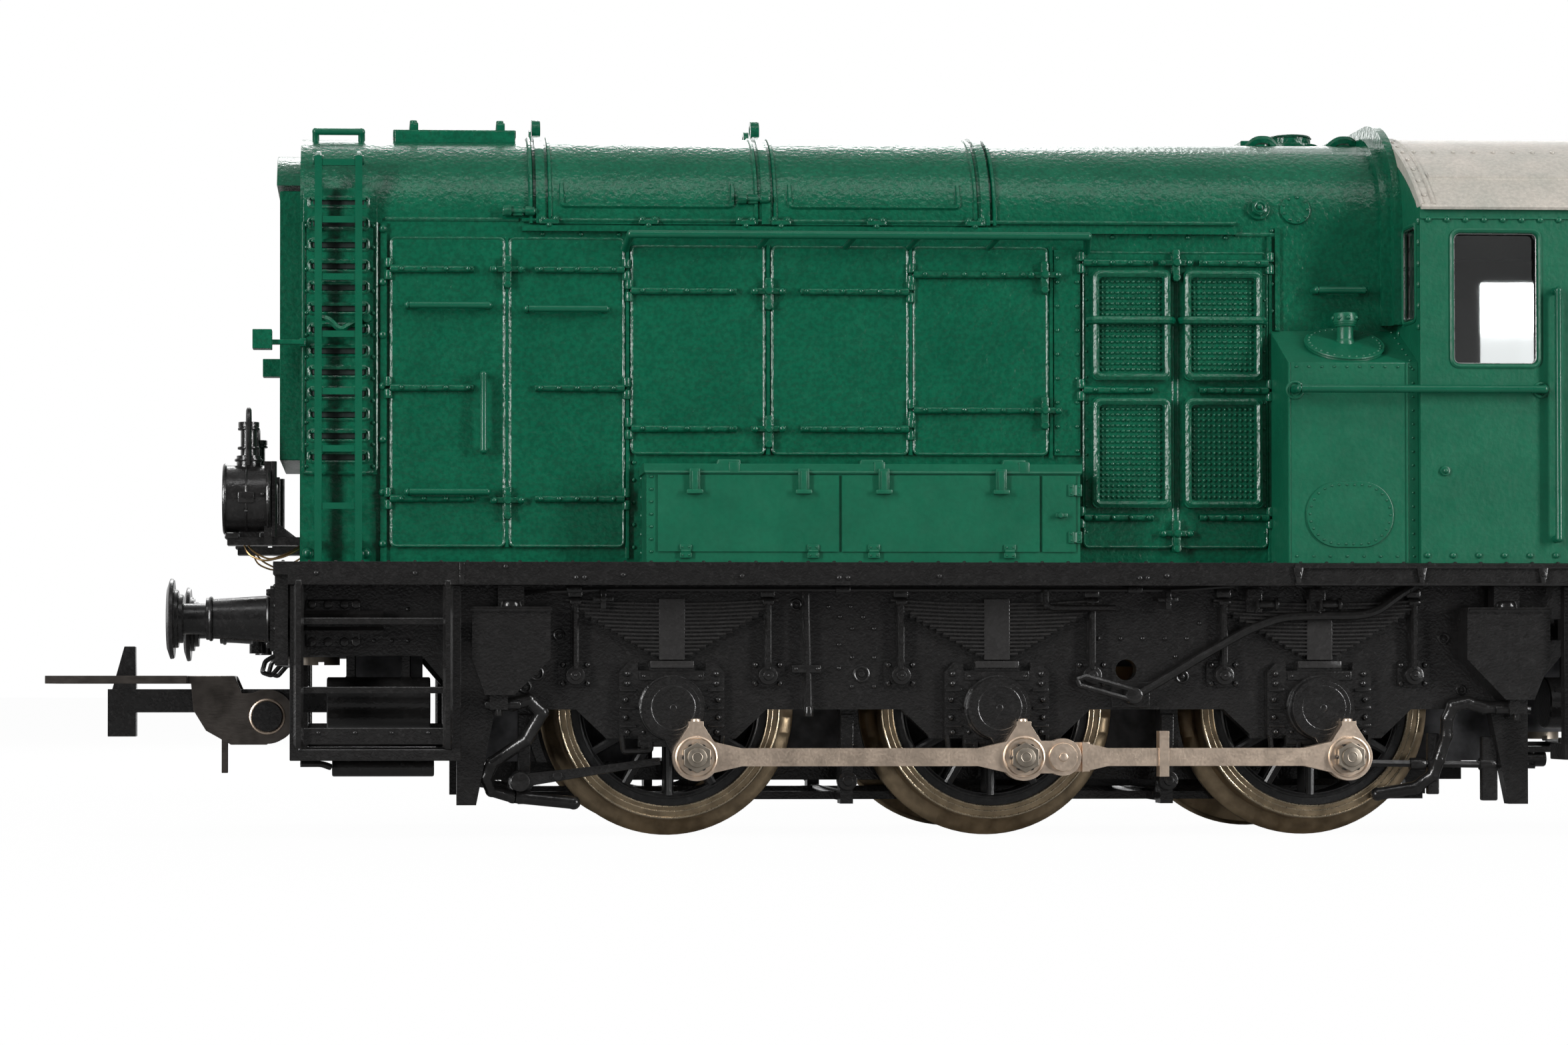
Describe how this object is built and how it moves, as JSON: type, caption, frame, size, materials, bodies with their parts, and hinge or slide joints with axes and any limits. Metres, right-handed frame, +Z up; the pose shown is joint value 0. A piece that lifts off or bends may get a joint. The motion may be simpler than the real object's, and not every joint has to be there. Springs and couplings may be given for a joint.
{
  "type": "model train locomotive",
  "caption": "Small-scale diesel shunting locomotive with bonnet, cab, outside frames, spoked wheels with coupling rods, sprung buffers and lifting loop couplers.",
  "frame": {"origin": "on the track's centreline below the middle axle, at the foot of the wheel flanges", "axes": "+X along the track towards the cab end, +Y across the track to the model's right side, +Z up"},
  "size_m": [0.1184, 0.0306, 0.0458],
  "materials": {
    "green_paint": "satin sprayed paint on moulded plastic",
    "roof_paint": "fine metallic silver-grey paint",
    "black_plastic": "satin moulding with a fine sparkle",
    "chassis_metal": "blackened die casting",
    "rod_metal": "nickel-plated, slightly warm",
    "tyre_metal": "turned, dark nickel with a brassy tone",
    "wheel_plastic": "black spoked centre",
    "axle_steel": "ground steel",
    "crank_metal": "blackened metal with a bright hexagonal screw",
    "coupler_metal": "burnished sheet metal",
    "coupler_plastic": "black nylon",
    "window_clear": "clear pane",
    "lamp_clear": "clear lens",
    "screw_steel": "zinc-plated",
    "motor_metal": "plated can",
    "rotor_metal": "wound laminations",
    "gear_brass": "machined brass",
    "gear_nylon": "ivory nylon",
    "board_green": "circuit board",
    "pickup_bronze": "spring bronze",
    "interior_plastic": "dark plain moulding"
  },
  "bodies": {
    "chassis": {"hood_shell": "green_paint", "radiator_grille": "green_paint", "hood_fittings": "green_paint", "hood_ladders": "green_paint", "handrails": "green_paint", "battery_boxes": "green_paint", "side_tanks": "green_paint", "cab_shell": "green_paint", "cab_roof": "roof_paint", "cab_glazing": "window_clear", "cab_interior": "interior_plastic", "footplate": "black_plastic", "chassis_block": "chassis_metal", "side_frame_left": "black_plastic", "side_frame_right": "black_plastic", "keeper_plate": "black_plastic", "keeper_screws": "screw_steel", "body_screws": "screw_steel", "buffer_beam_front": "black_plastic", "buffer_beam_rear": "black_plastic", "buffer_sleeves": "black_plastic", "corner_steps": "black_plastic", "sanding_gear": "black_plastic", "brake_gear": "black_plastic", "air_tanks": "black_plastic", "lamp_bodies": "black_plastic", "lamp_lenses": "lamp_clear", "brake_hoses": "black_plastic", "motor_case": "motor_metal", "circuit_board": "board_green", "pickup_strips": "pickup_bronze", "idler_pin": "axle_steel"},
    "rotor": {"motor_rotor": "rotor_metal", "flywheel": "gear_brass", "worm": "gear_brass"},
    "idler": {"idler_gear": "gear_nylon"},
    "wheelset_front": {"axle_front": "axle_steel", "wheels_front": "wheel_plastic", "tyres_front": "tyre_metal", "cranks_front": "crank_metal"},
    "wheelset_middle": {"axle_middle": "axle_steel", "wheels_middle": "wheel_plastic", "tyres_middle": "tyre_metal", "cranks_middle": "crank_metal"},
    "wheelset_rear": {"axle_rear": "axle_steel", "wheels_rear": "wheel_plastic", "tyres_rear": "tyre_metal", "cranks_rear": "crank_metal"},
    "rod_fl": {"rod_front_left": "rod_metal"},
    "rod_fr": {"rod_front_right": "rod_metal"},
    "rod_rl": {"rod_rear_left": "rod_metal"},
    "rod_rr": {"rod_rear_right": "rod_metal"},
    "coupler_front": {"coupler_arm_front": "coupler_plastic"},
    "coupler_rear": {"coupler_arm_rear": "coupler_plastic"},
    "loop_front": {"coupler_loop_front": "coupler_metal"},
    "loop_rear": {"coupler_loop_rear": "coupler_metal"},
    "buffer_fl": {"buffer_front_left": "black_plastic"},
    "buffer_fr": {"buffer_front_right": "black_plastic"},
    "buffer_rl": {"buffer_rear_left": "black_plastic"},
    "buffer_rr": {"buffer_rear_right": "black_plastic"}
  },
  "joints": [
    {"name": "middle_axle_turn", "type": "hinge", "parent": "chassis", "child": "wheelset_middle", "pos_m": [0, 0, 0.008], "axis": [0, 1, 0], "continuous": true},
    {"name": "front_axle_turn", "type": "hinge", "parent": "chassis", "child": "wheelset_front", "pos_m": [-0.02015, 0, 0.008], "axis": [0, 1, 0], "continuous": true},
    {"name": "rear_axle_turn", "type": "hinge", "parent": "chassis", "child": "wheelset_rear", "pos_m": [0.02015, 0, 0.008], "axis": [0, 1, 0], "continuous": true},
    {"name": "front_rod_left_turn", "type": "hinge", "parent": "wheelset_middle", "child": "rod_fl", "pos_m": [0.00134, -0.0136, 0.00499], "axis": [0, 1, 0], "continuous": true},
    {"name": "rear_rod_left_turn", "type": "hinge", "parent": "wheelset_rear", "child": "rod_rl", "pos_m": [0.02149, -0.0136, 0.00499], "axis": [0, 1, 0], "continuous": true},
    {"name": "front_rod_right_turn", "type": "hinge", "parent": "wheelset_middle", "child": "rod_fr", "pos_m": [0.00301, 0.0136, 0.00934], "axis": [0, 1, 0], "continuous": true},
    {"name": "rear_rod_right_turn", "type": "hinge", "parent": "wheelset_rear", "child": "rod_rr", "pos_m": [0.02316, 0.0136, 0.00934], "axis": [0, 1, 0], "continuous": true},
    {"name": "idler_turn", "type": "hinge", "parent": "chassis", "child": "idler", "pos_m": [0.01008, 0, 0.01058], "axis": [0, 1, 0], "continuous": true},
    {"name": "motor_shaft_turn", "type": "hinge", "parent": "chassis", "child": "rotor", "pos_m": [0, 0, 0.01898], "axis": [1, 0, 0], "continuous": true},
    {"name": "front_coupler_swing", "type": "hinge", "parent": "chassis", "child": "coupler_front", "pos_m": [-0.0378, 0, 0.0084], "axis": [0, 0, 1], "range_deg": [-10, 10], "stiffness_Nm_per_rad": 0.001},
    {"name": "rear_coupler_swing", "type": "hinge", "parent": "chassis", "child": "coupler_rear", "pos_m": [0.0378, 0, 0.0084], "axis": [0, 0, 1], "range_deg": [-10, 10], "stiffness_Nm_per_rad": 0.001},
    {"name": "front_loop_lift", "type": "hinge", "parent": "coupler_front", "child": "loop_front", "pos_m": [-0.0453, 0, 0.0074], "axis": [0, 1, 0], "range_deg": [0, 14]},
    {"name": "rear_loop_lift", "type": "hinge", "parent": "coupler_rear", "child": "loop_rear", "pos_m": [0.0453, 0, 0.0074], "axis": [0, -1, 0], "range_deg": [0, 14]},
    {"name": "buffer_front_left_press", "type": "slide", "parent": "chassis", "child": "buffer_fl", "axis": [1, 0, 0], "range_m": [0, 0.0012], "stiffness_N_per_m": 60},
    {"name": "buffer_front_right_press", "type": "slide", "parent": "chassis", "child": "buffer_fr", "axis": [1, 0, 0], "range_m": [0, 0.0012], "stiffness_N_per_m": 60},
    {"name": "buffer_rear_left_press", "type": "slide", "parent": "chassis", "child": "buffer_rl", "axis": [-1, 0, 0], "range_m": [0, 0.0012], "stiffness_N_per_m": 60},
    {"name": "buffer_rear_right_press", "type": "slide", "parent": "chassis", "child": "buffer_rr", "axis": [-1, 0, 0], "range_m": [0, 0.0012], "stiffness_N_per_m": 60}
  ],
  "couplings": [
    {"joint": "front_axle_turn", "follows": "middle_axle_turn", "ratio": 1},
    {"joint": "rear_axle_turn", "follows": "middle_axle_turn", "ratio": 1},
    {"joint": "front_rod_left_turn", "follows": "middle_axle_turn", "ratio": -1},
    {"joint": "front_rod_right_turn", "follows": "middle_axle_turn", "ratio": -1},
    {"joint": "rear_rod_left_turn", "follows": "middle_axle_turn", "ratio": -1},
    {"joint": "rear_rod_right_turn", "follows": "middle_axle_turn", "ratio": -1},
    {"joint": "idler_turn", "follows": "middle_axle_turn", "ratio": -0.625},
    {"joint": "motor_shaft_turn", "follows": "middle_axle_turn", "ratio": 10}
  ]
}
